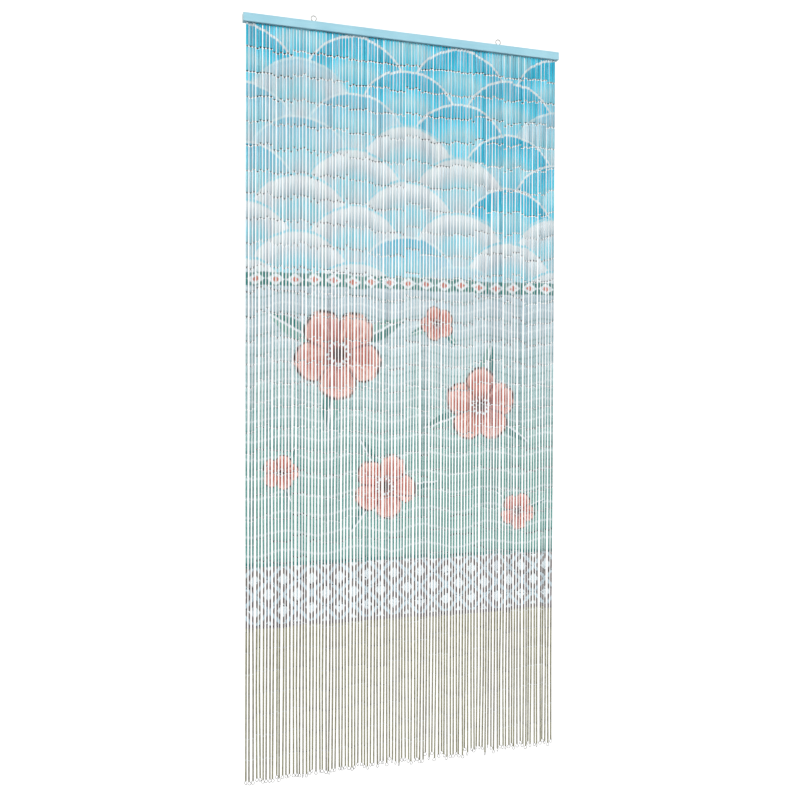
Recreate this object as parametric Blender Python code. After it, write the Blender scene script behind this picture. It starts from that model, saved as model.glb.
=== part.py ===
# Bamboo door curtain with its painted header bar.
# A wooden bar hangs by two screw eyes and carries 100 strands of bamboo tubes side by side.
# Lengths are in metres. X runs along the bar, -Y is the painted front, +Z is up.
# The origin is midway between the two eyes, at the height where the hooks bear in them.

import math
import random

import bmesh
import bpy
from mathutils import Matrix, Vector

# Header bar
BAR_WIDTH = 0.900
BAR_HEIGHT = 0.022
BAR_DEPTH = 0.019
BAR_EDGE_ROUND = 0.0010
FIT_GAP = 0.0003            # clearance between pieces that are fitted together

# Screw eyes
EYE_SPACING = 0.528
EYE_WIRE_RADIUS = 0.0010
EYE_RING_RADIUS = 0.0070    # to the middle of the wire
EYE_NECK = 0.0012           # shank that shows between the bar and the ring
EYE_SHANK_DEPTH = 0.0120    # shank inside the wood
EYE_BEND_ANGLE = 8.0        # degrees of the ring that the bend out of the shank takes up
EYE_MOUTH_ANGLE = 22.0      # degrees left open between the ring's tip and the shank
EYE_RING_STEPS = 30
EYE_HOLE_SIDES = 16

# Strands
CURTAIN_DROP = 2.000        # bar's top to the lowest wire ring
STRAND_COUNT = 100
STRAND_SPAN = 0.877         # first strand's middle to the last one's
ROOT_WIDTH = 0.0022         # the wire loop that a strand hangs by
ROOT_DROP = 0.0030
STRIP_HEIGHT = 0.0030       # backing strip in the bar's slot
STRIP_OVERHANG = 0.0040     # strip past the outer strands
RING_LENGTH = 0.0085        # open wire ring at a strand's lower end
RING_WIDTH = 0.0060         # narrow enough that turned neighbours stay apart
RING_WIRE = 0.0014
END_SCATTER = 0.0110        # how far a strand's length may differ from the middle length
THICKNESS_SCATTER = 0.03    # share of its thickness by which a strand differs
STRAND_SEED = 11

# A strand's shape below its loop: share of its length, thickness, and how far it may stray from plumb
STRAND_COLUMNS = ("share", "thickness", "stray")
STRAND_SECTIONS = (
    (0.00, 0.0080, 0.0002),
    (0.25, 0.0074, 0.0006),
    (0.50, 0.0066, 0.0010),
    (0.75, 0.0057, 0.0012),
    (1.00, 0.0047, 0.0012),
)

# Heights worked out from the sizes above
HOOK_TO_RING_MIDDLE = EYE_RING_RADIUS - EYE_WIRE_RADIUS
BAR_TOP = -HOOK_TO_RING_MIDDLE - EYE_RING_RADIUS - EYE_WIRE_RADIUS - EYE_NECK
BAR_UNDERSIDE = BAR_TOP - BAR_HEIGHT
STRAND_TOP = BAR_UNDERSIDE - ROOT_DROP
LOWEST_RING = BAR_TOP - CURTAIN_DROP

# Finishes
BAR_PAINT = ("bar_paint", (0.37, 0.67, 0.79), 0.45, 0.0)
EYE_STEEL = ("eye_steel", (0.62, 0.62, 0.60), 0.30, 1.0)
STRAND_BAMBOO = ("strand_bamboo", (0.55, 0.68, 0.68), 0.55, 0.0)


def clear_scene():
    for item in list(bpy.data.objects):
        bpy.data.objects.remove(item, do_unlink=True)


def make_material(name, colour, roughness, metallic):
    material = bpy.data.materials.new(name)
    material.use_nodes = True
    shader = material.node_tree.nodes["Principled BSDF"]
    shader.inputs["Base Color"].default_value = (*colour, 1.0)
    shader.inputs["Roughness"].default_value = roughness
    shader.inputs["Metallic"].default_value = metallic
    return material


def add_object(name, mesh, finish=None):
    item = bpy.data.objects.new(name, mesh)
    bpy.context.scene.collection.objects.link(item)
    if finish:
        mesh.materials.append(make_material(*finish))
    return item


def mesh_from_bmesh(name, shape):
    mesh = bpy.data.meshes.new(name)
    shape.to_mesh(mesh)
    shape.free()
    return mesh


def box_mesh(name, size, middle):
    shape = bmesh.new()
    bmesh.ops.create_cube(shape, size=1.0)
    bmesh.ops.scale(shape, vec=Vector(size), verts=shape.verts)
    bmesh.ops.translate(shape, vec=Vector(middle), verts=shape.verts)
    return mesh_from_bmesh(name, shape)


def cylinder_mesh(name, radius, low, high, x):
    shape = bmesh.new()
    place = Matrix.Translation((x, 0.0, (low + high) / 2))
    bmesh.ops.create_cone(shape, cap_ends=True, segments=EYE_HOLE_SIDES, radius1=radius, radius2=radius,
                          depth=high - low, matrix=place)
    return mesh_from_bmesh(name, shape)


def cut(item, cutter):
    cutter.hide_render = True
    cutter.display_type = "WIRE"
    boolean = item.modifiers.new("cut " + cutter.name, "BOOLEAN")
    boolean.operation = "DIFFERENCE"
    boolean.solver = "EXACT"
    boolean.object = cutter


def eye_places():
    return {"eye_left": -EYE_SPACING / 2, "eye_right": EYE_SPACING / 2}


def make_header_bar():
    middle = (0.0, 0.0, BAR_TOP - BAR_HEIGHT / 2)
    bar = add_object("header_bar", box_mesh("header_bar", (BAR_WIDTH, BAR_DEPTH, BAR_HEIGHT), middle), BAR_PAINT)
    rounding = bar.modifiers.new("soft edges", "BEVEL")
    rounding.width = BAR_EDGE_ROUND
    rounding.segments = 2
    # The slot is open below and a fit gap larger than the strip on its other sides
    slot_length = STRAND_SPAN + 2 * (STRIP_OVERHANG + FIT_GAP)
    slot_width = ROOT_WIDTH + 2 * FIT_GAP
    slot_top = BAR_UNDERSIDE + STRIP_HEIGHT + FIT_GAP
    slot_bottom = BAR_UNDERSIDE - BAR_HEIGHT
    slot_size = (slot_length, slot_width, slot_top - slot_bottom)
    slot_middle = (0.0, 0.0, (slot_top + slot_bottom) / 2)
    cut(bar, add_object("slot_cutter", box_mesh("slot_cutter", slot_size, slot_middle)))
    for name, x in eye_places().items():
        hole_bottom = BAR_TOP - EYE_SHANK_DEPTH - FIT_GAP
        hole = cylinder_mesh(name + "_hole", EYE_WIRE_RADIUS + FIT_GAP, hole_bottom, BAR_TOP + BAR_HEIGHT, x)
        cut(bar, add_object(name + "_hole", hole))
    return bar


def eye_path():
    # Up the shank, then round the ring from its lowest point, ending short of the shank
    ring_middle = -HOOK_TO_RING_MIDDLE
    ring_bottom = ring_middle - EYE_RING_RADIUS
    points = [(0.0, BAR_TOP - EYE_SHANK_DEPTH), (0.0, BAR_TOP), (0.0, ring_bottom - EYE_WIRE_RADIUS / 2)]
    first_turn = math.radians(EYE_BEND_ANGLE)
    last_turn = math.radians(360.0 - EYE_MOUTH_ANGLE)
    for step in range(EYE_RING_STEPS + 1):
        turn = first_turn + (last_turn - first_turn) * step / EYE_RING_STEPS
        points.append((EYE_RING_RADIUS * math.sin(turn), ring_middle - EYE_RING_RADIUS * math.cos(turn)))
    return points


def make_eye(name, x):
    curve = bpy.data.curves.new(name, "CURVE")
    curve.dimensions = "3D"
    curve.bevel_depth = EYE_WIRE_RADIUS
    curve.bevel_resolution = 2
    curve.use_fill_caps = True
    spline = curve.splines.new("POLY")
    path = eye_path()
    spline.points.add(len(path) - 1)
    for point, (across, height) in zip(spline.points, path):
        point.co = (across, 0.0, height, 1.0)
    spline.use_smooth = True
    eye = add_object(name, curve, EYE_STEEL)
    eye.location.x = x
    return eye


def strand_middles():
    pitch = STRAND_SPAN / (STRAND_COUNT - 1)
    return [-STRAND_SPAN / 2 + pitch * number for number in range(STRAND_COUNT)]


def strand_sections(x, scatter):
    """Square cross-sections of one strand from its loop down, as (x, y, z, half width, half depth)."""
    end = LOWEST_RING + RING_LENGTH + END_SCATTER * scatter.uniform(0.0, 2.0)
    plumpness = 1.0 + THICKNESS_SCATTER * scatter.uniform(-1.0, 1.0)
    loop = ROOT_WIDTH / 2
    sections = [(x, 0.0, STRAND_TOP, loop, loop)]
    for row in STRAND_SECTIONS:
        part = dict(zip(STRAND_COLUMNS, row))
        height = STRAND_TOP + (end - STRAND_TOP) * part["share"]
        middle_x = x + part["stray"] * scatter.uniform(-1.0, 1.0)
        middle_y = part["stray"] * scatter.uniform(-1.0, 1.0)
        half = part["thickness"] * plumpness / 2
        sections.append((middle_x, middle_y, height, half, half))
    wire = RING_WIRE / 2
    sections.append((middle_x, middle_y, end, wire, wire))
    sections.append((middle_x, middle_y, end - RING_LENGTH / 2, RING_WIDTH / 2, wire))
    sections.append((middle_x, middle_y, end - RING_LENGTH, wire, wire))
    return sections


def add_square(shape, x, y, z, half_width, half_depth):
    corners = ((-1, -1), (1, -1), (1, 1), (-1, 1))
    return [shape.verts.new((x + a * half_width, y + b * half_depth, z)) for a, b in corners]


def join_squares(shape, upper, lower):
    for corner in range(4):
        after = (corner + 1) % 4
        shape.faces.new((upper[corner], upper[after], lower[after], lower[corner]))


def make_strands():
    shape = bmesh.new()
    scatter = random.Random(STRAND_SEED)
    middles = strand_middles()
    half_root = ROOT_WIDTH / 2
    strip_end = middles[-1] + STRIP_OVERHANG
    strip_bottom = BAR_UNDERSIDE
    strip_top = BAR_UNDERSIDE + STRIP_HEIGHT
    # The strip is parted at both sides of each root, so that roots and strip share their edges
    cuts = [-strip_end]
    for x in middles:
        cuts += [x - half_root, x + half_root]
    cuts.append(strip_end)
    ribs = []
    for x in cuts:
        ribs.append([shape.verts.new((x, y, z)) for y, z in (
            (-half_root, strip_bottom), (half_root, strip_bottom), (half_root, strip_top), (-half_root, strip_top))])
    for place in range(len(ribs) - 1):
        left, right = ribs[place], ribs[place + 1]
        over_root = place % 2 == 1
        for side in range(1 if over_root else 0, 4):
            after = (side + 1) % 4
            shape.faces.new((left[side], left[after], right[after], right[side]))
    shape.faces.new(ribs[0])
    shape.faces.new(reversed(ribs[-1]))
    for number, x in enumerate(middles):
        left, right = ribs[2 * number + 1], ribs[2 * number + 2]
        upper = [left[0], right[0], right[1], left[1]]
        for section in strand_sections(x, scatter):
            lower = add_square(shape, *section)
            join_squares(shape, upper, lower)
            upper = lower
        shape.faces.new(upper)
    bmesh.ops.recalc_face_normals(shape, faces=shape.faces)
    return add_object("strands", mesh_from_bmesh("strands", shape), STRAND_BAMBOO)


clear_scene()
make_header_bar()
for eye_name, eye_x in eye_places().items():
    make_eye(eye_name, eye_x)
make_strands()
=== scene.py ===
# Dresses the bamboo door curtain: painted tubes on wire links, end rings, screw eyes and the painted bar.
import math
import random

import bmesh
import bpy
import numpy as np
from mathutils import Matrix, Vector


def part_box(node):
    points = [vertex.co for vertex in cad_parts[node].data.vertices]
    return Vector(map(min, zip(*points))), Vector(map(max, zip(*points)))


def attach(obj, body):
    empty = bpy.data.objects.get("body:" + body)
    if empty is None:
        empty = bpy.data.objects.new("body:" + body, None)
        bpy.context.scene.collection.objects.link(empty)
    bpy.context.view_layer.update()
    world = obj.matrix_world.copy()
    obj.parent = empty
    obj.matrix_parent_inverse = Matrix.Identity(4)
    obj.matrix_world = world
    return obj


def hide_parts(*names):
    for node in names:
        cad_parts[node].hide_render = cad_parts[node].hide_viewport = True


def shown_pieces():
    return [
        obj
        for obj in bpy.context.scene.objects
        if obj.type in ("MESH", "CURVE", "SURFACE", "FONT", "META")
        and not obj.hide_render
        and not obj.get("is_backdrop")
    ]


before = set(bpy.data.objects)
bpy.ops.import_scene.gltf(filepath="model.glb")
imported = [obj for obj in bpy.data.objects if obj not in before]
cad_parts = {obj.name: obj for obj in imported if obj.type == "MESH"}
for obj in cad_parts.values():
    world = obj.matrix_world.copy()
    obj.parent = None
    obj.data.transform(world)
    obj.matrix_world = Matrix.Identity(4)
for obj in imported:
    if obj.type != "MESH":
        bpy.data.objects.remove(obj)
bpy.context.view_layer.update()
bpy.ops.object.select_all(action="DESELECT")

barLow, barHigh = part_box("header_bar")
strandsLow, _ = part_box("strands")
plainWhite = (1.0, 1.0, 1.0, 1.0)


# Node trees

def screenColour(red, green, blue):
    # a colour as seen on a screen, 0 to 255, turned into the light values that shaders take
    shares = [part / 255.0 for part in (red, green, blue)]
    return tuple(s / 12.92 if s <= 0.04045 else ((s + 0.055) / 1.055) ** 2.4 for s in shares) + (1.0,)


def asPaint(colour):
    # a paint may be given by its name
    return paintColours[colour] if isinstance(colour, str) else colour


class Wired:
    # an output socket; sums written with it add Math nodes

    def __init__(self, wiring, socket):
        self.wiring = wiring
        self.socket = socket

    def __add__(self, other):
        return self.wiring.math("ADD", self, other)

    def __radd__(self, other):
        return self.wiring.math("ADD", other, self)

    def __sub__(self, other):
        return self.wiring.math("SUBTRACT", self, other)

    def __rsub__(self, other):
        return self.wiring.math("SUBTRACT", other, self)

    def __mul__(self, other):
        return self.wiring.math("MULTIPLY", self, other)

    def __rmul__(self, other):
        return self.wiring.math("MULTIPLY", other, self)

    def __truediv__(self, other):
        return self.wiring.math("DIVIDE", self, other)

    def __pow__(self, other):
        return self.wiring.math("POWER", self, other)

    def __abs__(self):
        return self.wiring.math("ABSOLUTE", self)


class Wiring:
    # a node tree whose nodes are added one by one

    def __init__(self, tree):
        self.tree = tree

    def put(self, socket, value):
        if isinstance(value, Wired):
            self.tree.links.new(value.socket, socket)
        else:
            socket.default_value = asPaint(value)

    def node(self, kind, settings=None, sockets=None, output=0):
        made = self.tree.nodes.new(kind)
        for name, value in (settings or {}).items():
            if name == "stops":
                self.setStops(made.color_ramp, value)
            else:
                setattr(made, name, value)
        for name, value in (sockets or {}).items():
            self.put(made.inputs[name], value)
        return Wired(self, made.outputs[output])

    def setStops(self, ramp, stops):
        while len(ramp.elements) < len(stops):
            ramp.elements.new(1.0)
        for element, (place, colour) in zip(ramp.elements, stops):
            element.position = place
            element.color = asPaint(colour)

    def math(self, operation, *values):
        return self.node("ShaderNodeMath", {"operation": operation}, dict(enumerate(values)))

    def parts(self, vector):
        return [self.node("ShaderNodeSeparateXYZ", sockets={0: vector}, output=axis) for axis in "XYZ"]


class Finish(Wiring):
    # a material and the patterns that it is mixed from

    def __init__(self, name):
        self.material = bpy.data.materials.new(name)
        self.material.use_nodes = True
        super().__init__(self.material.node_tree)
        self.shader = self.tree.nodes["Principled BSDF"]

    def shade(self, **sockets):
        for name, value in sockets.items():
            self.put(self.shader.inputs[name.replace("_", " ")], value)

    def objectPlace(self):
        return self.parts(self.node("ShaderNodeTexCoord", output="Object"))

    def tubeFacts(self):
        # how far along its tube a point lies, and two numbers drawn for each tube
        facts = self.node("ShaderNodeAttribute", {"attribute_name": "tubeFacts"}, output="Vector")
        return self.parts(facts)

    def point(self, x, y, z):
        return self.node("ShaderNodeCombineXYZ", sockets={0: x, 1: y, 2: z})

    def noise(self, x, y, z, scale=1.0, detail=2.0, roughness=0.5):
        sockets = {"Vector": self.point(x, y, z), "Scale": scale, "Detail": detail, "Roughness": roughness}
        return self.node("ShaderNodeTexNoise", sockets=sockets)

    def random(self, x, y):
        settings = {"noise_dimensions": "3D"}
        return self.node("ShaderNodeTexWhiteNoise", settings, {"Vector": self.point(x, y, 0.0)})

    def ramp(self, value, *stops):
        return self.node("ShaderNodeValToRGB", {"stops": stops}, {"Fac": value})

    def blend(self, share, first, second, way="MIX"):
        settings = {"data_type": "RGBA", "blend_type": way, "clamp_factor": True}
        return self.node("ShaderNodeMix", settings, {0: share, 6: first, 7: second}, 2)

    def fade(self, value, start, stop):
        # 0 before start, 1 after stop, smooth in between; start may lie past stop
        settings = {"interpolation_type": "SMOOTHSTEP"}
        sockets = {"Value": value, 1: start, 2: stop, 3: 0.0, 4: 1.0}
        return self.node("ShaderNodeMapRange", settings, sockets)

    def nearEnd(self, value, end, band):
        # 0 to 1 within a band, given as two distances short of the end, on both sides of the middle
        return self.fade(abs(value), end - band[0], end - band[1])

    def bump(self, height, distance, strength=1.0):
        sockets = {"Height": height, "Distance": distance, "Strength": strength}
        return self.node("ShaderNodeBump", sockets=sockets)


# Camera and light

cameraSetup = {
    "lens": 41.23,                       # millimetres, on a sensor of the width below
    "sensor": 36.0,
    "farthest": 200.0,                   # metres
    "leftOfMiddle": 0.7819,              # metres from the bar's middle
    "inFront": 2.3801,
    "belowBarTop": 0.9719,
    "turnRight": 17.714,                 # degrees
    "tiltUp": -0.558,
    "roll": 0.193,
}

lightSetup = {
    "keyStrength": 2.1,
    "keySoftness": 40.0,                 # degrees across
    "keyFromLeft": 34.0,                 # degrees round from straight in front
    "keyHeight": 24.0,                   # degrees above level
    "roomAbove": 0.54,                   # room light from level upwards
    "roomBelow": 0.50,
    "horizonBlend": 0.15,                # how softly the two meet
    "backdrop": 1.14,                    # brightness of what lies behind, a little past white
    "floorBelow": 0.06,                  # metres from the lowest ring to the floor
    "floorSize": 60.0,
    "floorTone": 0.08,                   # what the floor takes up of the light, on top of its own glow
    "floorRoughness": 0.9,
    "floorDimmer": 0.06,                 # its glow is this much under the backdrop
}


def placeCamera():
    yaw = math.radians(cameraSetup["turnRight"])
    pitch = math.radians(cameraSetup["tiltUp"])
    roll = math.radians(cameraSetup["roll"])
    ahead = Vector((math.sin(yaw) * math.cos(pitch), math.cos(yaw) * math.cos(pitch), math.sin(pitch)))
    level = Vector((math.cos(yaw), -math.sin(yaw), 0.0))
    upright = level.cross(ahead)
    right = level * math.cos(roll) + upright * math.sin(roll)
    above = upright * math.cos(roll) - level * math.sin(roll)
    bpy.ops.object.camera_add()
    camera = bpy.context.object
    turn = Matrix((right, above, -ahead)).transposed().to_4x4()
    spot = (-cameraSetup["leftOfMiddle"], -cameraSetup["inFront"], barHigh.z - cameraSetup["belowBarTop"])
    camera.matrix_world = Matrix.Translation(spot) @ turn
    camera.data.lens = cameraSetup["lens"]
    camera.data.sensor_width = cameraSetup["sensor"]
    camera.data.clip_end = cameraSetup["farthest"]
    bpy.context.scene.camera = camera


def placeLights():
    around = math.radians(lightSetup["keyFromLeft"])
    height = math.radians(lightSetup["keyHeight"])
    flat = math.cos(height)
    toLight = Vector((-math.sin(around) * flat, -math.cos(around) * flat, math.sin(height)))
    bpy.ops.object.light_add(type="SUN")
    key = bpy.context.object
    key.name = "key_light"
    key.rotation_euler = toLight.to_track_quat("Z", "Y").to_euler()
    key.data.energy = lightSetup["keyStrength"]
    key.data.angle = math.radians(lightSetup["keySoftness"])


def placeStudio():
    # soft room light from above, and a plain white background where the camera looks past the object
    setup = lightSetup
    world = bpy.data.worlds.new("studio")
    bpy.context.scene.world = world
    world.use_nodes = True
    wiring = Wiring(world.node_tree)
    outwards = wiring.node("ShaderNodeTexCoord", output="Generated")
    height = wiring.node("ShaderNodeSeparateXYZ", sockets={0: outwards}, output="Z")
    room = wiring.node("ShaderNodeMapRange", sockets={
        "Value": height, "From Min": -setup["horizonBlend"], "From Max": setup["horizonBlend"],
        "To Min": setup["roomBelow"], "To Max": setup["roomAbove"],
    })
    soft = world.node_tree.nodes["Background"]
    wiring.put(soft.inputs["Color"], plainWhite)
    wiring.put(soft.inputs["Strength"], room)
    around = Wired(wiring, soft.outputs[0])
    glow = {"Color": plainWhite, "Strength": setup["backdrop"]}
    behind = wiring.node("ShaderNodeBackground", sockets=glow)
    seen = wiring.node("ShaderNodeLightPath", output="Is Camera Ray")
    chosen = wiring.node("ShaderNodeMixShader", sockets={0: seen, 1: around, 2: behind})
    wiring.put(world.node_tree.nodes["World Output"].inputs["Surface"], chosen)

    floorHeight = strandsLow.z - setup["floorBelow"]
    bpy.ops.mesh.primitive_plane_add(size=setup["floorSize"], location=(0.0, 0.0, floorHeight))
    floor = bpy.context.object
    floor.name = "studio_floor"
    pale = Finish("pale_floor")
    tone = setup["floorTone"]
    pale.shade(Base_Color=(tone, tone, tone, 1.0), Roughness=setup["floorRoughness"])
    pale.shade(Emission_Color=plainWhite, Emission_Strength=setup["backdrop"] - setup["floorDimmer"])
    floor.data.materials.append(pale.material)
    floor.visible_diffuse = False
    floor.visible_glossy = False
    floor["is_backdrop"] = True
    bpy.context.scene.view_settings.view_transform = "Standard"


placeCamera()
placeLights()
placeStudio()
print("camera, lights and floor are placed")


# Finishes

paintColours = {
    "skyDeep": screenColour(0, 176, 208),
    "sky": screenColour(52, 198, 226),
    "skyPale": screenColour(130, 202, 218),
    "mist": screenColour(170, 194, 204),
    "white": screenColour(206, 220, 225),
    "aqua": screenColour(108, 163, 156),
    "aquaPale": screenColour(150, 186, 188),
    "teal": screenColour(34, 122, 118),
    "sand": screenColour(150, 148, 120),
    "sandShade": screenColour(130, 127, 100),
    "stone": screenColour(110, 104, 102),
    "coral": screenColour(190, 110, 96),
    "coralDeep": screenColour(130, 60, 52),
    "coralPale": screenColour(218, 168, 156),
    "umber": screenColour(58, 38, 36),
    "bamboo": screenColour(212, 206, 188),
    "bambooShade": screenColour(184, 174, 150),
    # painted shade for the rims of the cut ends, bluish grey, and inside the bores, near black
    "cutShade": screenColour(62, 100, 118),
    "bore": screenColour(18, 40, 50),
    # painted shade at the joints between tubes, on the tube ends and on the lower rims
    "grime": screenColour(46, 58, 60),
}

designPlan = {
    # depths are metres below the bar's underside, and each zone ends where the next one starts
    "fanWidth": 0.300, "fanRise": 0.075, "fanEnd": 0.640,
    "fanRim": (1.0, 0.985),                      # shares of a fan's radius at which the fan behind it shows
    "driftAcross": 0.62, "driftDown": 0.27, "driftOffset": 2.0, "driftShare": 0.8,
    "whiterDown": 0.50, "clouded": (0.58, 0.70),
    "chainEnd": 0.676, "chainWidth": 0.052,
    "lineWidth": 0.008, "lineBlend": 0.002, "edgeBlend": 0.003,
    "waveLength": 0.190, "waveHeight": 0.008, "waveStep": 0.050,
    "waveCrest": (0.80, 0.97), "crestWhite": 0.55,
    "waveTrough": (0.16, 0.04), "troughTeal": 0.40,
    "lozengeTop": 1.405, "lozengeEnd": 1.565, "lozengeWidth": 0.076, "lozengeHeight": 0.080,
    "smallFanWidth": 0.130, "smallFanRise": 0.0325, "smallFanDrift": 0.5,
}

blossomPlan = {
    "leafReach": 1.10, "leafLength": 1.30, "leafWidth": 0.46,      # in blossom sizes
    "leafTaper": 0.8, "leafLean": 0.12, "leafRim": (1.0, 0.90),
    "rib": (0.16, 0.06), "ribSide": 0.06,
    "petals": 5, "notch": 0.34,
    "vein": (0.50, 0.66), "veinFrom": (0.25, 0.5), "veinShare": 0.8,
    "parting": (0.22, 0.06), "partingFrom": (0.15, 0.3),
    "dots": 15, "dot": (0.55, 0.8), "dotRing": 0.24, "dotSize": (0.05, 0.03),
    "rim": (1.02, 0.985),
}

# where the blossoms lie, their sizes and turns, and which ways their leaves point in degrees
blossomColumns = ("x", "depth", "size", "turn", "leaves")
blossoms = (
    (-0.195, 0.850, 0.124, 0.35, (28, 152, 262)),
    (0.215, 0.990, 0.106, 0.95, (80, 200, 325)),
    (-0.065, 1.210, 0.090, 0.10, (5, 118, 232)),
    (0.085, 0.765, 0.050, 0.60, (315, 200)),
    (-0.350, 1.165, 0.050, 1.20, (60, 290)),
    (0.330, 1.290, 0.054, 0.20, (140, 20)),
)


def fanPattern(finish, x, depth, width, rise):
    # overlapping fans, rows of circles in brick order: the share from middle to rim, and the fan's number
    plan = designPlan
    row = finish.math("FLOOR", depth / rise)
    share = None
    number = None
    for step in (-1, 0, 1):
        thisRow = row - step
        offset = finish.math("FLOORED_MODULO", thisRow, 2.0) * (width / 2)
        column = finish.math("ROUND", (x - offset) / width)
        across = x - offset - column * width
        up = depth - (thisRow + 1.0) * rise
        away = finish.math("SQRT", across * across + up * up) / (width / 2)
        # fans near each other are alike, so that the tones gather in drifts
        drift = finish.noise(column * plan["driftAcross"] + offset * plan["driftOffset"],
                             thisRow * plan["driftDown"], 3.0, 1.0, 0.0)
        tag = drift * plan["driftShare"] + finish.random(column, thisRow) * (1.0 - plan["driftShare"])
        if share is None:
            share, number = away, tag
            continue
        # what is found later lies behind, and shows only past the rim of the fan in front
        inFront = finish.fade(share, *plan["fanRim"])
        share = away + (share - away) * inFront
        number = tag + (number - tag) * inFront
    return share, number


def zigzag(finish, value, length):
    # 0 to 1 and back over each length; the forty lengths keep the value above nought
    return finish.math("PINGPONG", value + length * 40, length / 2) / (length / 2)


def paintBlossom(finish, colour, x, depth, flower):
    plan = blossomPlan
    side = x - flower["x"]
    up = flower["depth"] - depth
    away = finish.math("SQRT", side * side + up * up)
    angle = finish.math("ARCTAN2", up, side) + flower["turn"]
    lobe = abs(finish.math("COSINE", angle * (plan["petals"] / 2)))
    share = away / ((1.0 - plan["notch"] + plan["notch"] * lobe ** 0.5) * flower["size"])
    petals = finish.ramp(
        share, (0.0, "umber"), (0.11, "umber"), (0.19, "coralDeep"), (0.46, "coral"), (0.72, "coral"),
        (0.92, "coralPale"), (0.96, "umber"),
    )
    # pale streaks run out along the petals, and a dark line parts each petal from the next
    streaks = finish.noise(angle * 5.0, away * 6.0, 0.0, 1.0, 1.0)
    veins = finish.fade(streaks, *plan["vein"]) * finish.fade(share, *plan["veinFrom"]) * plan["veinShare"]
    petals = finish.blend(veins, petals, "coralPale")
    parting = finish.fade(lobe, *plan["parting"]) * finish.fade(share, *plan["partingFrom"])
    petals = finish.blend(parting, petals, "coralDeep")
    # a ring of pale dots about the dark eye
    dots = finish.fade(abs(finish.math("SINE", angle * (plan["dots"] / 2))), *plan["dot"])
    dots = dots * finish.fade(abs(share - plan["dotRing"]), *plan["dotSize"])
    petals = finish.blend(dots, petals, "white")
    return finish.blend(finish.fade(share, *plan["rim"]), colour, petals)


def paintLeaf(finish, colour, x, depth, flower, pointing):
    plan = blossomPlan
    turn = math.radians(pointing)
    length = flower["size"] * plan["leafLength"]
    width = flower["size"] * plan["leafWidth"]
    reach = flower["size"] * plan["leafReach"]
    side = x - (flower["x"] + reach * math.cos(turn))
    up = (flower["depth"] - reach * math.sin(turn)) - depth
    along = (side * math.cos(turn) + up * math.sin(turn)) / (length / 2)
    across = (up * math.cos(turn) - side * math.sin(turn)) / (width / 2)
    # full near the blossom and drawn out to a point
    edge = abs(across) + along * along * plan["leafTaper"] + (along + 1.0) * plan["leafLean"]
    halves = finish.blend(finish.fade(across, -plan["ribSide"], plan["ribSide"]), "teal", "aqua")
    body = finish.blend(finish.fade(abs(across), *plan["rib"]), halves, "white")
    return finish.blend(finish.fade(edge, *plan["leafRim"]), colour, body)


def paintFans(finish, x, depth):
    # airbrushed fans in sky blue and white, whiter further down
    plan = designPlan
    share, number = fanPattern(finish, x, depth, plan["fanWidth"], plan["fanRise"])
    fans = finish.ramp(
        share, (0.0, "sky"), (0.45, "skyPale"), (0.62, "sky"), (0.80, "skyDeep"), (0.94, "skyDeep"),
        (0.955, "white"),
    )
    clouded = finish.ramp(
        share, (0.0, "mist"), (0.45, "skyPale"), (0.66, "mist"), (0.86, "white"), (0.94, "white"),
        (0.955, "skyPale"),
    )
    return finish.blend(finish.fade(number + depth * plan["whiterDown"], *plan["clouded"]), fans, clouded)


def paintWater(finish, x, depth):
    # still water: pale mist into aqua, with rows of soft waves
    plan = designPlan
    deepening = finish.fade(depth, plan["fanEnd"], plan["lozengeTop"])
    water = finish.ramp(deepening, (0.0, "mist"), (0.30, "aquaPale"), (0.75, "aqua"))
    roll = finish.math("SINE", x * (2 * math.pi / plan["waveLength"]))
    crest = zigzag(finish, depth + roll * plan["waveHeight"], plan["waveStep"])
    water = finish.blend(finish.fade(crest, *plan["waveCrest"]) * plan["crestWhite"], water, "white")
    return finish.blend(finish.fade(crest, *plan["waveTrough"]) * plan["troughTeal"], water, "teal")


def paintChain(finish, x, depth):
    plan = designPlan
    half = (plan["chainEnd"] - plan["fanEnd"]) / 2
    link = zigzag(finish, x, plan["chainWidth"]) + abs(depth - (plan["fanEnd"] + half)) / half
    return finish.ramp(
        link * 0.5, (0.0, "coral"), (0.20, "coral"), (0.25, "white"), (0.44, "white"), (0.50, "teal"),
    )


def paintBorder(finish, x, depth):
    plan = designPlan
    downwards = zigzag(finish, depth - plan["lozengeTop"], plan["lozengeHeight"])
    lozenge = zigzag(finish, x, plan["lozengeWidth"]) + downwards
    return finish.ramp(
        lozenge * 0.5, (0.0, "white"), (0.20, "white"), (0.24, "stone"), (0.40, "stone"), (0.44, "mist"),
        (0.56, "mist"), (0.60, "stone"), (0.76, "stone"), (0.80, "white"),
    )


def paintSand(finish, x, depth):
    # sand with faint small fans
    plan = designPlan
    share, number = fanPattern(finish, x, depth, plan["smallFanWidth"], plan["smallFanRise"])
    sand = finish.ramp(
        share, (0.0, "sandShade"), (0.12, "sand"), (0.82, "sand"), (0.90, "sandShade"), (1.0, "sandShade"),
    )
    return finish.blend(number * plan["smallFanDrift"], sand, "sand")


def layZone(finish, colour, x, depth, zone, painter):
    # lays what the painter paints over the colour, from where the zone starts downwards
    start = designPlan[zone]
    inZone = finish.fade(depth, start, start + designPlan["edgeBlend"])
    return finish.blend(inZone, colour, painter(finish, x, depth))


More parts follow.
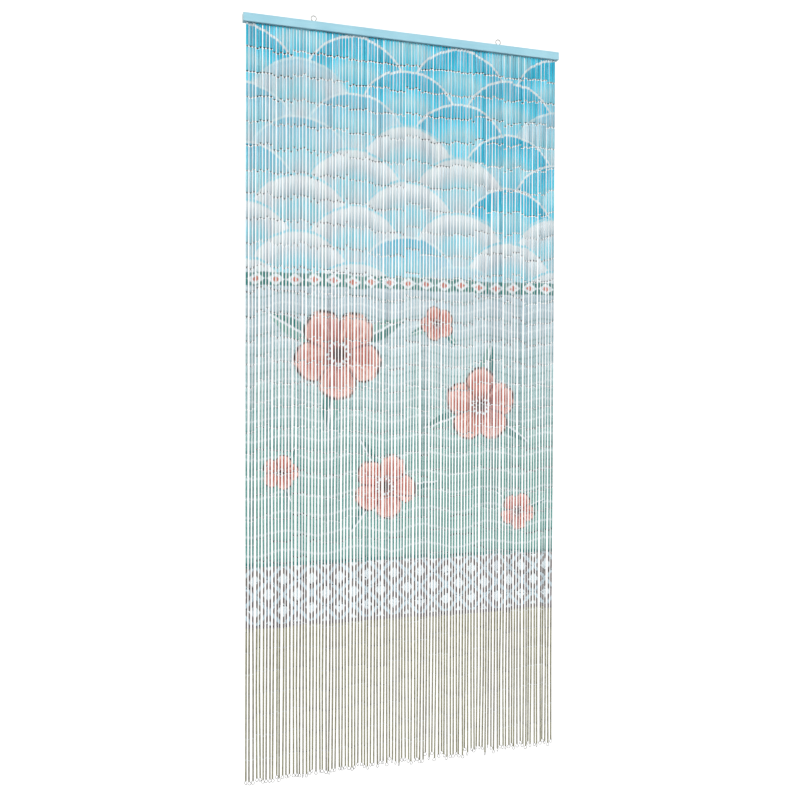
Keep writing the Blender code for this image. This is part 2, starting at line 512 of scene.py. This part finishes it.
def paintDesign(finish, x, depth):
    plan = designPlan
    colour = paintFans(finish, x, depth)
    colour = layZone(finish, colour, x, depth, "fanEnd", paintWater)
    # a chain of small lozenges parts the fans from the water
    inChain = finish.fade(depth, plan["fanEnd"], plan["fanEnd"] + plan["lineBlend"])
    inChain = inChain * finish.fade(depth, plan["chainEnd"], plan["chainEnd"] - plan["lineBlend"])
    colour = finish.blend(inChain, colour, paintChain(finish, x, depth))
    # a border of lozenges between two lines, and sand below it
    colour = layZone(finish, colour, x, depth, "lozengeTop", paintBorder)
    colour = layZone(finish, colour, x, depth, "lozengeEnd", paintSand)
    for edge, tint in (("lozengeTop", "teal"), ("lozengeEnd", "stone")):
        halfLine = plan["lineWidth"] / 2
        line = finish.fade(abs(depth - plan[edge]), halfLine + plan["lineBlend"], halfLine)
        colour = finish.blend(line, colour, tint)
    # blossoms with their leaves behind them
    flowers = [dict(zip(blossomColumns, row)) for row in blossoms]
    for flower in flowers:
        for pointing in flower["leaves"]:
            colour = paintLeaf(finish, colour, x, depth, flower, pointing)
    for flower in flowers:
        colour = paintBlossom(finish, colour, x, depth, flower)
    return colour


bambooLook = {
    "offDown": 0.008, "offAside": 0.002,             # metres by which a tube may hang off its painted place
    "shade": 0.79, "byTone": 0.22, "byGrain": 0.16, "byMottle": 0.04,
    "mauve": screenColour(150, 140, 152), "green": screenColour(150, 158, 128), "castShare": 0.4,
    "ends": (0.014, 0.002), "endsRub": 0.20, "rubbed": (0.82, 0.88), "rubbedShare": 0.5,
    "waterFrom": (-0.4, -0.8), "waterTo": (-1.7, -1.5),          # heights between which some ends get painted shade
    "shadedTubes": (0.62, 0.56), "shadedEnds": (0.032, 0.022), "endShadeShare": 0.72,
    "roughness": 0.30, "roughByGrain": 0.20, "coat": 0.25, "coatRoughness": 0.22,
    "bump": 0.00025, "bumpStrength": 0.5,
}

cutLook = {
    "poreScale": 2600.0, "shaded": (0.45, 0.75),
    "sprayHeights": (-1.0, -1.5),                    # from sky paint above to sand paint below
    "sprayPores": (0.70, 0.40), "sprayLeast": 0.70, "sprayByPores": 0.25,
    # painted shade on the rims of the cut ends, and the tubes that go without it
    "jointShadeHeights": (-0.4, -0.8), "jointShadeShare": 0.85,
    "unshadedTubes": (0.48, 0.62), "cloggedFrom": (0.36, 0.44),
    "rim": (0.0001, 0.0006),                         # how near its end a tube shows its cut face
    "roughness": 0.62, "roughByPores": 0.2, "bump": 0.0002, "bumpStrength": 0.6,
}

wireLook = {
    "cloudScale": 420.0, "cloud": (0.35, 0.75), "dulled": (0.66, 0.66, 0.64),
    "roughness": 0.28, "roughByCloud": 0.25, "bump": 0.0001, "bumpStrength": 0.4,
}

barLook = {
    "paints": (
        (0.30, screenColour(152, 206, 223)), (0.50, screenColour(163, 214, 230)),
        (0.70, screenColour(174, 222, 236)),
    ),
    "byPatch": 0.6, "byGrain": 0.4,
    # the colour of the sawn ends: duller paint, and painted shade
    "sawn": screenColour(172, 196, 200),
    "sawnLeast": 0.70, "sawnByPores": 0.3, "sawnBand": (0.0006, 0.0002),
    "rubbed": screenColour(214, 226, 226),
    "rubbedShare": 0.55, "rubs": (0.40, 0.62), "arris": (0.0011, 0.0003),
    "roughness": 0.42, "roughByBrush": 0.16, "coat": 0.1, "coatRoughness": 0.3,
    "bump": 0.0004, "bumpStrength": 0.5, "bumpGrain": 0.7, "bumpBrush": 0.3,
}


def paintedBamboo():
    look = bambooLook
    finish = Finish("painted_bamboo")
    x, y, z = finish.objectPlace()
    along, tone, shift = finish.tubeFacts()
    # each tube hangs a little off the place it had when it was painted
    depth = barLow.z - z + (shift - 0.5) * look["offDown"]
    colour = paintDesign(finish, x + (shift - 0.5) * look["offAside"], depth)
    grain = finish.noise(x * 900.0, y * 900.0, z * 14.0 + tone * 40.0, 1.0, 3.0, 0.6)
    mottle = finish.noise(x * 60.0, y * 60.0, z * 45.0 + tone * 9.0, 1.0, 2.0)
    shading = look["shade"] + tone * look["byTone"] + grain * look["byGrain"] + mottle * look["byMottle"]
    grey = finish.node("ShaderNodeCombineColor", sockets={0: shading, 1: shading, 2: shading})
    colour = finish.blend(1.0, colour, grey, "MULTIPLY")
    # each cane takes the paint its own way: some a little mauve, some a little green
    cast = finish.ramp(tone, (0.25, look["mauve"]), (0.75, look["green"]))
    colour = finish.blend(abs(tone - 0.5) * look["castShare"], colour, cast)
    # paint rubs off at the ends and along some fibres
    ends = finish.nearEnd(along - 0.5, 0.5, look["ends"])
    rubbed = finish.fade(grain + ends * look["endsRub"], *look["rubbed"])
    colour = finish.blend(rubbed * look["rubbedShare"], colour, "bamboo")
    # where the tubes hang close, in the water, the ends of some runs of tubes get a dark painted shade,
    # standing in for the shade at the joints
    inWater = finish.fade(z, *look["waterFrom"]) * finish.fade(z, *look["waterTo"])
    jointShadeMask = finish.nearEnd(along - 0.5, 0.5, look["shadedEnds"]) * finish.fade(shift, *look["shadedTubes"])
    colour = finish.blend(jointShadeMask * inWater * look["endShadeShare"], colour, "grime")
    finish.shade(Base_Color=colour, Roughness=look["roughness"] + grain * look["roughByGrain"])
    finish.shade(Coat_Weight=look["coat"], Coat_Roughness=look["coatRoughness"])
    finish.shade(Normal=finish.bump(grain, look["bump"], look["bumpStrength"]))
    return finish.material


def cutBamboo():
    look = cutLook
    finish = Finish("cut_bamboo")
    x, y, z = finish.objectPlace()
    along, _, shift = finish.tubeFacts()
    pores = finish.noise(x, y, z, look["poreScale"], 3.0, 0.7)
    rim = finish.blend(finish.fade(pores, *look["shaded"]), "bamboo", "bambooShade")
    # the sprayed paint reaches the rims: pale sky above, sand below
    spray = finish.blend(finish.fade(z, *look["sprayHeights"]), "mist", "sand")
    sprayed = finish.fade(pores, *look["sprayPores"]) * look["sprayByPores"] + look["sprayLeast"]
    rim = finish.blend(sprayed, rim, spray)
    # the bore is painted near black, a painted shade inside the hollow; in some tubes it is clogged with
    # white paint, and those tubes get no painted shade on their rims
    unshadedTube = finish.fade(shift, *look["unshadedTubes"])
    # the other tubes' rims get a painted shade, bluish grey above and near black below
    grime = finish.blend(finish.fade(z, *look["jointShadeHeights"]), "cutShade", "grime")
    rim = finish.blend(look["jointShadeShare"] - unshadedTube * look["jointShadeShare"], rim, grime)
    clogged = unshadedTube * finish.fade(abs(along - 0.5), *look["cloggedFrom"])
    bore = finish.blend(clogged, "bore", "white")
    colour = finish.blend(finish.nearEnd(along - 0.5, 0.5, look["rim"]), rim, bore)
    finish.shade(Base_Color=colour, Roughness=look["roughness"] + pores * look["roughByPores"])
    finish.shade(Normal=finish.bump(pores, look["bump"], look["bumpStrength"]))
    return finish.material


def drawnWire(name, *bright):
    look = wireLook
    finish = Finish(name)
    x, y, z = finish.objectPlace()
    cloud = finish.noise(x, y, z, look["cloudScale"], 3.0, 0.6)
    dull = [part * share for part, share in zip(bright, look["dulled"])]
    colour = finish.blend(finish.fade(cloud, *look["cloud"]), screenColour(*bright), screenColour(*dull))
    finish.shade(Base_Color=colour, Metallic=1.0)
    finish.shade(Roughness=look["roughness"] + cloud * look["roughByCloud"])
    finish.shade(Normal=finish.bump(cloud, look["bump"], look["bumpStrength"]))
    return finish.material


def barPaint():
    look = barLook
    finish = Finish("bar_paint")
    x, y, z = finish.objectPlace()
    grain = finish.noise(x * 9.0, y * 260.0, z * 260.0, 1.0, 4.0, 0.6)
    brush = finish.noise(x * 30.0, y * 900.0, z * 900.0, 1.0, 2.0, 0.5)
    patch = finish.noise(x, y, z, 14.0, 2.0)
    colour = finish.ramp(patch * look["byPatch"] + grain * look["byGrain"], *look["paints"])
    # the sawn ends are painted duller: the end grain drinks the paint, and the darker colour is also a
    # painted shade that keeps the left end, which faces the key light, no brighter than the front
    pores = finish.noise(x, y, z, 900.0, 2.0)
    dullerAndShaded = look["sawnLeast"] + pores * look["sawnByPores"]
    sawn = finish.nearEnd(x, barHigh.x, look["sawnBand"]) * dullerAndShaded
    colour = finish.blend(sawn, colour, look["sawn"])
    # and the arrises rub pale
    arrisY = finish.nearEnd(y, barHigh.y, look["arris"])
    arrisZ = finish.nearEnd(z - (barLow.z + barHigh.z) / 2, (barHigh.z - barLow.z) / 2, look["arris"])
    rubbed = arrisY * arrisZ * finish.fade(grain, *look["rubs"])
    colour = finish.blend(rubbed * look["rubbedShare"], colour, look["rubbed"])
    finish.shade(Base_Color=colour, Roughness=look["roughness"] + brush * look["roughByBrush"])
    finish.shade(Coat_Weight=look["coat"], Coat_Roughness=look["coatRoughness"])
    height = grain * look["bumpGrain"] + brush * look["bumpBrush"]
    finish.shade(Normal=finish.bump(height, look["bump"], look["bumpStrength"]))
    return finish.material


finishes = {
    "painted": paintedBamboo(),
    "cut": cutBamboo(),
    "link": drawnWire("link_wire", 78, 106, 120),
    "ring": drawnWire("ring_wire", 130, 126, 122),
    "eye": drawnWire("eye_wire", 198, 198, 192),
    "bar": barPaint(),
}
print("finishes are mixed")


# Modelling aids

modelling = {
    "weld": 0.000001,            # metres within which corners become one
    "smoothAngle": 35.0,         # degrees
}


def between(first, last, share):
    return first + (last - first) * share


def pick(test):
    # selects the vertices that pass the test, and what lies between them
    mesh = bpy.context.object.data
    bpy.ops.mesh.select_mode(type="VERT")
    bpy.ops.mesh.select_all(action="DESELECT")
    shape = bmesh.from_edit_mesh(mesh)
    for corner in shape.verts:
        corner.select = bool(test(corner.co))
    shape.select_flush(True)
    bmesh.update_edit_mesh(mesh)


def closeUp():
    bpy.ops.mesh.select_all(action="SELECT")
    bpy.ops.mesh.remove_doubles(threshold=modelling["weld"])
    bpy.ops.mesh.normals_make_consistent(inside=False)
    bpy.ops.object.mode_set(mode="OBJECT")


def bentWire(name, sides, radius, start, moves):
    # a round wire from a flat start; runs go straight, turns swing about a centre, clockwise from the front
    bpy.ops.object.select_all(action="DESELECT")
    bpy.ops.mesh.primitive_circle_add(vertices=sides, radius=radius, fill_type="NGON", location=start)
    item = bpy.context.object
    item.name = name
    bpy.ops.object.transform_apply(location=True, rotation=True, scale=True)
    bpy.ops.object.mode_set(mode="EDIT")
    bpy.ops.mesh.select_all(action="SELECT")
    for move in moves:
        if move[0] == "run":
            bpy.ops.mesh.extrude_region_move(TRANSFORM_OT_translate={"value": move[1]})
        else:
            _, centre, angle, steps = move
            bpy.ops.mesh.spin(steps=steps, angle=math.radians(angle), center=centre, axis=(0.0, -1.0, 0.0))
    closeUp()
    return item


def arraysOf(item):
    # a model's corners, faces and material numbers, to be laid out many times
    mesh = item.data
    corners = np.array([v.co for v in mesh.vertices])
    faces = [list(p.vertices) for p in mesh.polygons]
    slots = [p.material_index for p in mesh.polygons]
    bpy.data.objects.remove(item, do_unlink=True)
    return {"corners": corners, "faces": faces, "slots": slots}


def layCopies(name, copies, coats, factsName=None):
    # one mesh of many copies; each copy is a model, its 3x3 turn and size, its place and its facts
    corners = []
    faces = []
    slots = []
    facts = []
    count = 0
    for model, turn, place, fact in copies:
        corners.append(model["corners"] @ turn.T + place)
        faces += [[corner + count for corner in face] for face in model["faces"]]
        slots += model["slots"]
        if factsName:
            along = model["corners"][:, 2:3] + 0.5
            facts.append(np.hstack([along, np.tile(fact, (len(along), 1))]))
        count += len(model["corners"])
    mesh = bpy.data.meshes.new(name)
    mesh.from_pydata(np.vstack(corners).tolist(), [], faces)
    mesh.polygons.foreach_set("material_index", slots)
    for coat in coats:
        mesh.materials.append(coat)
    if factsName:
        layer = mesh.attributes.new(factsName, "FLOAT_VECTOR", "POINT")
        layer.data.foreach_set("vector", np.vstack(facts).astype(np.float32).ravel())
    item = bpy.data.objects.new(name, mesh)
    bpy.context.scene.collection.objects.link(item)
    return item


def finishPiece(item, slot, *nodes):
    bpy.ops.object.select_all(action="DESELECT")
    item.select_set(True)
    bpy.context.view_layer.objects.active = item
    bpy.ops.object.shade_smooth_by_angle(angle=math.radians(modelling["smoothAngle"]))
    item.select_set(False)
    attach(item, "root")
    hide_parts(*nodes)


# Bamboo tubes: models one long and one thick, standing about the origin

tubeShape = {
    "sides": 8,
    "boreShare": 0.64,       # of the outer radius
    "rimShare": 0.90,        # the worn arris at both ends
    "rimHeight": 0.010,      # of the length
    "boreMargin": 0.02,      # how far past the bore's radius its corners are looked for
    "levelMargin": 0.001,    # and how far above and below a ring's height
}

# height of each ring of the wall, its thickness and how far it stands to one side
tubeKinds = {
    "straight": ((0.10, 0.985, 0.004),),
    "knuckled": ((-0.13, 0.975, 0.003), (-0.09, 1.05, 0.004), (-0.05, 0.97, 0.004)),
    "bowed": ((-0.08, 0.99, 0.016), (0.20, 1.01, 0.010)),
    "waisted": ((0.05, 0.94, -0.006),),
}


def pickLevel(height):
    pick(lambda spot: abs(spot.z - height) < tubeShape["levelMargin"])


def widen(share, height):
    # resizes what is selected about the tube's middle line
    bpy.ops.transform.resize(value=(share, share, 1.0), center_override=(0.0, 0.0, height))


def modelTube(kind):
    bpy.ops.object.select_all(action="DESELECT")
    sides = tubeShape["sides"]
    bpy.ops.mesh.primitive_cylinder_add(vertices=sides, radius=0.5, depth=1.0, end_fill_type="NOTHING")
    item = bpy.context.object
    item.name = "tube_" + kind
    bpy.ops.object.mode_set(mode="EDIT")
    shoulder = 0.5 - tubeShape["rimHeight"]
    for height, thickness, aside in ((shoulder, 1.0, 0.0), (-shoulder, 1.0, 0.0)) + tubeKinds[kind]:
        bpy.ops.mesh.select_all(action="SELECT")
        bpy.ops.mesh.bisect(plane_co=(0.0, 0.0, height), plane_no=(0.0, 0.0, 1.0))
        pickLevel(height)
        widen(thickness, height)
        bpy.ops.transform.translate(value=(aside, 0.0, 0.0))
    for end in (0.5, -0.5):
        pickLevel(end)
        widen(tubeShape["rimShare"], end)
        bpy.ops.mesh.extrude_region_move()
        widen(tubeShape["boreShare"] / tubeShape["rimShare"], end)
    boreRadius = 0.5 * tubeShape["boreShare"] + tubeShape["boreMargin"]
    pick(lambda spot: spot.xy.length < boreRadius)
    bpy.ops.mesh.bridge_edge_loops()
    closeUp()
    for face in item.data.polygons:
        onRim = abs(face.normal.z) > 0.9
        inBore = all(item.data.vertices[v].co.xy.length < boreRadius for v in face.vertices)
        face.material_index = 1 if onRim or inBore else 0
    return arraysOf(item)


tubes = {kind: modelTube(kind) for kind in tubeKinds}
print("tubes are modelled:", {kind: len(model["faces"]) for kind, model in tubes.items()})


# Where the strands hang: drawn as for the solids, but slimmer, and ending lower and more evenly at the left

strandPlan = {
    "count": 100, "span": 0.877, "seed": 11,
    "rootDrop": 0.0012, "ringLength": 0.0097, "endScatter": 0.0110, "thicknessScatter": 0.03,
    "evenLeft": 0.30,            # how uneven the ends are at the left, as a share of the solids'
    "evenUpTo": 50,              # the strand from which on they are as uneven as in the solids
}
sectionColumns = ("share", "thickness", "stray")
strandSections = (
    (0.00, 0.0077, 0.0002),
    (0.25, 0.0065, 0.0006),
    (0.50, 0.0055, 0.0010),
    (0.75, 0.0050, 0.0012),
    (1.00, 0.0042, 0.0012),
)

hangPlan = {
    "seed": 29,
    "tubesPerStrand": 33,
    "lengthTop": 1.07, "lengthLow": 0.93,          # tubes get a little shorter downwards
    "batchScatter": 0.042,                         # as shares of a tube's length
    "lengthTopScatter": 0.024, "lengthLowScatter": 0.006,
    "lastTubes": 6,                                # these take up what a strand is longer or shorter
    "batchLeast": 3, "batchMost": 8,               # neighbouring strands cut from one batch
    "gapTop": 0.0030, "gapLow": 0.0002, "gapScatter": 0.15,
    "gapCloses": 1.6,                              # how fast the gaps close downwards
    "wanderTop": 0.00042, "wanderLow": 0.00065,    # how far the strands stray sideways
    "outwardShare": 1.4, "outwardMost": 0.0028,    # and to the front and back
    "roomTop": 0.0002, "roomLow": 0.0020,          # least clear width between neighbours
    "pushes": 80, "push": 0.4,                     # how often and how much they push each other aside
    "levels": 80, "bends": 9,
    "thicknessScatter": 0.02,
    "toneOfStrand": 0.6, "shiftOfBatch": 0.75,     # the rest of both facts is drawn for each tube
    "kinds": (("straight", 0.44), ("knuckled", 0.18), ("bowed", 0.20), ("waisted", 0.18)),
}


def strandLines():
    # each strand as rows of height, x, y and thickness
    plan = strandPlan
    scatter = random.Random(plan["seed"])
    top = barLow.z - plan["rootDrop"]
    lowest = strandsLow.z + plan["ringLength"]
    lines = []
    for number in range(plan["count"]):
        x = -plan["span"] / 2 + plan["span"] / (plan["count"] - 1) * number
        uneven = min(1.0, plan["evenLeft"] + (1.0 - plan["evenLeft"]) * number / plan["evenUpTo"])
        end = lowest + plan["endScatter"] * scatter.uniform(0.0, 2.0) * uneven
        plumpness = 1.0 + plan["thicknessScatter"] * scatter.uniform(-1.0, 1.0)
        rows = []
        for row in strandSections:
            part = dict(zip(sectionColumns, row))
            height = top + (end - top) * part["share"]
            middleX = x + part["stray"] * scatter.uniform(-1.0, 1.0)
            middleY = part["stray"] * scatter.uniform(-1.0, 1.0)
            rows.append((height, middleX, middleY, part["thickness"] * plumpness))
        lines.append(np.array(rows))
    return lines


def readLine(line, heights):
    # a strand's x, y and thickness at the heights
    return [np.interp(-heights, -line[:, 0], line[:, column]) for column in (1, 2, 3)]


def settleStrands(lines):
    # each strand wanders a little; where two would overlap they push each other aside
    plan = hangPlan
    draws = np.random.default_rng(plan["seed"])
    levels = np.linspace(lines[0][0, 0], min(line[-1, 0] for line in lines), plan["levels"])
    table = np.array([readLine(line, levels) for line in lines])
    across, outward, thickness = table[:, 0], table[:, 1], table[:, 2]
    depth = np.linspace(0.0, 1.0, plan["levels"])
    reach = between(plan["wanderTop"], plan["wanderLow"], depth)
    spots = np.linspace(0.0, 1.0, plan["bends"])
    for number in range(len(lines)):
        across[number] += np.interp(depth, spots, draws.normal(size=len(spots))) * reach
        swing = np.interp(depth, spots, draws.normal(size=len(spots))) * reach
        outward[number] += swing * plan["outwardShare"]
    outward.clip(-plan["outwardMost"], plan["outwardMost"], out=outward)
    room = between(plan["roomTop"], plan["roomLow"], depth)
    for _ in range(plan["pushes"]):
        wanted = (thickness[:-1] + thickness[1:]) / 2 + room
        overlap = np.maximum(0.0, wanted - (across[1:] - across[:-1]))
        across[:-1] -= overlap * plan["push"]
        across[1:] += overlap * plan["push"]
    return [np.stack([levels, across[n], outward[n], thickness[n]], axis=1) for n in range(len(lines))]


def spotOn(line, height):
    # where a strand runs at a height, and how thick it is there
    x, y, thickness = [float(part) for part in readLine(line, height)]
    return Vector((x, y, height)), thickness


def turnAndSize(axis, spin, thickness, length):
    up = Vector(axis).normalized()
    side = up.orthogonal().normalized()
    side.rotate(Matrix.Rotation(spin, 3, up))
    other = up.cross(side)
    return np.array([side * thickness, other * thickness, up * length]).T


def drawBatch(scatter, count):
    # strands of one batch have their joints at like heights, and ends with painted shade at the same ones
    return {
        "lengths": [scatter.gauss(0.0, hangPlan["batchScatter"]) for _ in range(count)],
        "shifts": [scatter.random() for _ in range(count)],
        "strandsLeft": scatter.randint(hangPlan["batchLeast"], hangPlan["batchMost"]),
    }


def drawGaps(scatter, depths):
    # the gap below each tube, and none below the last one
    plan = hangPlan
    gaps = []
    for depth in depths[1:]:
        gap = between(plan["gapLow"], plan["gapTop"], (1.0 - depth) ** plan["gapCloses"])
        gaps.append(gap * (1.0 + scatter.uniform(-1, 1) * plan["gapScatter"]))
    return gaps + [0.0]


def drawLengths(scatter, depths, batchLengths):
    # the tubes' lengths as shares of their mean
    plan = hangPlan
    lengths = []
    for depth, common in zip(depths, batchLengths):
        spread = plan["lengthTopScatter"] * (1.0 - depth) + plan["lengthLowScatter"] * depth
        mean = between(plan["lengthTop"], plan["lengthLow"], depth)
        lengths.append(mean + common + scatter.gauss(0.0, spread))
    return lengths


def drawTube(scatter, head, foot, thickness, strandTone, batchShift):
    plan = hangPlan
    names, shares = zip(*plan["kinds"])
    toneShare, shiftShare = plan["toneOfStrand"], plan["shiftOfBatch"]
    return {
        "head": head, "foot": foot,
        "thickness": thickness * (1 + scatter.uniform(-1, 1) * plan["thicknessScatter"]),
        "model": tubes[scatter.choices(names, shares)[0]],
        "spin": scatter.uniform(0, 2 * math.pi),
        "flip": scatter.choice((-1.0, 1.0)),
        "facts": (strandTone * toneShare + scatter.random() * (1.0 - toneShare),
                  batchShift * shiftShare + scatter.random() * (1.0 - shiftShare)),
    }


def hangTubes():
    # each strand's tubes from the top down, and the gap below each of them
    plan = hangPlan
    scatter = random.Random(plan["seed"])
    count = plan["tubesPerStrand"]
    depths = np.linspace(0.0, 1.0, count)
    evenEnd = strandsLow.z + strandPlan["ringLength"] + strandPlan["endScatter"]
    lines = strandLines()
    strands = []
    batch = {"strandsLeft": 0}
    for plain, line in zip(lines, settleStrands(lines)):
        if batch["strandsLeft"] == 0:
            batch = drawBatch(scatter, count)
        batch["strandsLeft"] -= 1
        strandTone = scatter.random()
        top, end = plain[0, 0], plain[-1, 0]
        gaps = drawGaps(scatter, depths)
        lengths = drawLengths(scatter, depths, batch["lengths"])
        scale = (top - evenEnd - sum(gaps)) / sum(lengths)
        spare = (evenEnd - end) / plan["lastTubes"]
        strand = {"tubes": [], "gaps": []}
        high = top
        head, headThickness = spotOn(line, high)
        for number in range(count):
            low = high - lengths[number] * scale
            if number >= count - plan["lastTubes"]:
                low -= spare
            foot, footThickness = spotOn(line, low)
            thickness = (headThickness + footThickness) / 2
            tube = drawTube(scatter, head, foot, thickness, strandTone, batch["shifts"][number])
            strand["tubes"].append(tube)
            high = low - gaps[number]
            head, headThickness = spotOn(line, high)
            strand["gaps"].append({"upper": foot, "lower": head, "thickness": tube["thickness"]})
        strands.append(strand)
    return strands


strands = hangTubes()
third = len(strands) // 3
thirds = {"left": strands[:third], "middle": strands[third:2 * third], "right": strands[2 * third:]}

for side, group in thirds.items():
    copies = []
    for strand in group:
        for tube in strand["tubes"]:
            axis = tube["head"] - tube["foot"]
            turn = turnAndSize(axis * tube["flip"], tube["spin"], tube["thickness"], axis.length)
            copies.append((tube["model"], turn, np.array((tube["head"] + tube["foot"]) / 2), tube["facts"]))
    item = layCopies("tubes_" + side, copies, [finishes["painted"], finishes["cut"]], "tubeFacts")
    finishPiece(item, "painted_bamboo", "strands")
print("tubes are hung:", sum(len(strand["tubes"]) for strand in strands))


# Wire links: two interlocked hairpins in each gap, their legs up and down the bores

linkShape = {
    "sides": 4, "wire": 0.00034, "leg": 0.0050, "steps": 4,
    "bends": (0.00150, 0.00110, 0.00070),          # half widths of the hairpins
    "clear": 0.00003,                              # between a hairpin and the bore
    "seed": 43,
}


def modelHairpin(bend):
    # a U that hangs open upwards, its lowest wire just below the origin
    shape = linkShape
    middle = bend - shape["wire"]
    start = (-bend, 0.0, middle + shape["leg"])
    item = bentWire("hairpin", shape["sides"], shape["wire"], start, (
        ("run", (0.0, 0.0, -shape["leg"])),
        ("turn", (0.0, 0.0, middle), -180.0, shape["steps"]),
        ("run", (0.0, 0.0, shape["leg"])),
    ))
    return arraysOf(item)


hairpins = {bend: modelHairpin(bend) for bend in linkShape["bends"]}
linkScatter = random.Random(linkShape["seed"])


def linkCopies(upper, lower, thickness):
    # both hairpins of a gap, the widest that the bore takes; the lower is turned over and a quarter round
    room = thickness * tubeShape["boreShare"] / 2 - linkShape["wire"] - linkShape["clear"]
    fitting = [bend for bend in linkShape["bends"] if bend < room]
    hairpin = hairpins[max(fitting, default=min(linkShape["bends"]))]
    middle = np.array((upper + lower) / 2)
    spin = linkScatter.uniform(0, math.pi)
    hanging = turnAndSize((0.0, 0.0, 1.0), spin, 1.0, 1.0)
    standing = turnAndSize((0.0, 0.0, -1.0), math.pi / 2 - spin, 1.0, 1.0)
    return [(hairpin, hanging, middle, None), (hairpin, standing, middle, None)]


for side, group in thirds.items():
    copies = []
    for strand in group:
        first = strand["tubes"][0]
        inBar = Vector((first["head"].x, first["head"].y, barLow.z))
        copies += linkCopies(inBar, first["head"], first["thickness"])
        for gap in strand["gaps"][:-1]:
            copies += linkCopies(gap["upper"], gap["lower"], gap["thickness"])
    item = layCopies("links_" + side, copies, [finishes["link"]])
    finishPiece(item, "link_wire", "strands")
print("links are bent")


# Open wire rings at the strands' ends

ringShape = {
    "sides": 5, "wire": 0.00062, "radius": 0.0042, "steps": 15,
    "stem": 0.005, "bend": 0.0006, "bendSteps": 2,
    "mouth": 34.0,                       # degrees left open
    "lean": 0.30, "swing": 0.55,         # how far a ring tilts and turns, in radians
    "seed": 61,
}


def modelEndRing():
    # a stem down out of the bore, then round the ring from its top and back to just short of the stem
    shape = ringShape
    middle = -shape["bend"] - shape["radius"]
    item = bentWire("end_ring", shape["sides"], shape["wire"], (0.0, 0.0, shape["stem"]), (
        ("run", (0.0, 0.0, -shape["stem"])),
        ("turn", (shape["bend"], 0.0, 0.0), -90.0, shape["bendSteps"]),
        ("turn", (shape["bend"], 0.0, middle), 360.0 - shape["mouth"], shape["steps"]),
    ))
    return arraysOf(item)


endRing = modelEndRing()
ringScatter = random.Random(ringShape["seed"])
copies = []
for strand in strands:
    foot = strand["tubes"][-1]["foot"]
    lean = ringScatter.uniform(-ringShape["lean"], ringShape["lean"])
    swing = ringScatter.gauss(0.0, ringShape["swing"]) + ringScatter.choice((0.0, math.pi))
    turn = Matrix.Rotation(swing, 3, "Z") @ Matrix.Rotation(lean, 3, "Y")
    copies.append((endRing, np.array(turn), np.array(foot), None))
item = layCopies("end_rings", copies, [finishes["ring"]])
finishPiece(item, "link_wire", "strands")
print("end rings are bent")


# Batten in the bar's slot, which holds the first links

battenShape = {"width": 0.0022, "height": 0.0030, "overhang": 0.0040, "edge": 0.0003, "edgeSteps": 2}


def modelBatten():
    shape = battenShape
    bpy.ops.object.select_all(action="DESELECT")
    size = (strandPlan["span"] + 2 * shape["overhang"], shape["width"], shape["height"])
    middle = (0.0, 0.0, barLow.z + shape["height"] / 2)
    bpy.ops.mesh.primitive_cube_add(size=1.0, location=middle, scale=size)
    item = bpy.context.object
    item.name = "slot_batten"
    bpy.ops.object.transform_apply(location=True, rotation=True, scale=True)
    soft = item.modifiers.new("soft edges", "BEVEL")
    soft.width = shape["edge"]
    soft.segments = shape["edgeSteps"]
    bpy.ops.object.modifier_apply(modifier=soft.name)
    item.data.materials.append(finishes["bar"])
    return item


finishPiece(modelBatten(), "bar_paint", "strands")


# Screw eyes

eyeShape = {
    "sides": 12, "wire": 0.0010, "radius": 0.0070, "steps": 36,
    "join": 12.0, "joinSteps": 6,        # degrees of the ring that the bend out of the shank takes up
    "mouth": 30.0,                       # degrees left open
}


def modelEye(node):
    # a shank, a bend to the right, and a ring over the shank that ends just short of the bend
    shape = eyeShape
    low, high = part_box(node)
    middleX = (low.x + high.x) / 2
    radius = shape["radius"]
    join = math.radians(shape["join"])
    bend = radius * math.sin(join) / (1.0 - math.sin(join))
    ringMiddle = high.z - radius - shape["wire"]
    neckHeight = ringMiddle - (radius + bend) * math.cos(join)
    item = bentWire(node + "_wire", shape["sides"], shape["wire"], (middleX, 0.0, low.z), (
        ("run", (0.0, 0.0, neckHeight - low.z)),
        ("turn", (middleX + bend, 0.0, neckHeight), 90.0 - shape["join"], shape["joinSteps"]),
        ("turn", (middleX, 0.0, ringMiddle), shape["mouth"] - 360.0, shape["steps"]),
    ))
    item.data.materials.append(finishes["eye"])
    return item


for node in ("eye_left", "eye_right"):
    finishPiece(modelEye(node), "eye_steel", node)
print("screw eyes are bent")

# The bar keeps its own shape
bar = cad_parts["header_bar"]
bar.data.materials.clear()
bar.data.materials.append(finishes["bar"])

total = sum(sum(len(p.vertices) - 2 for p in item.data.polygons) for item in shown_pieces())
print("triangles shown:", total)
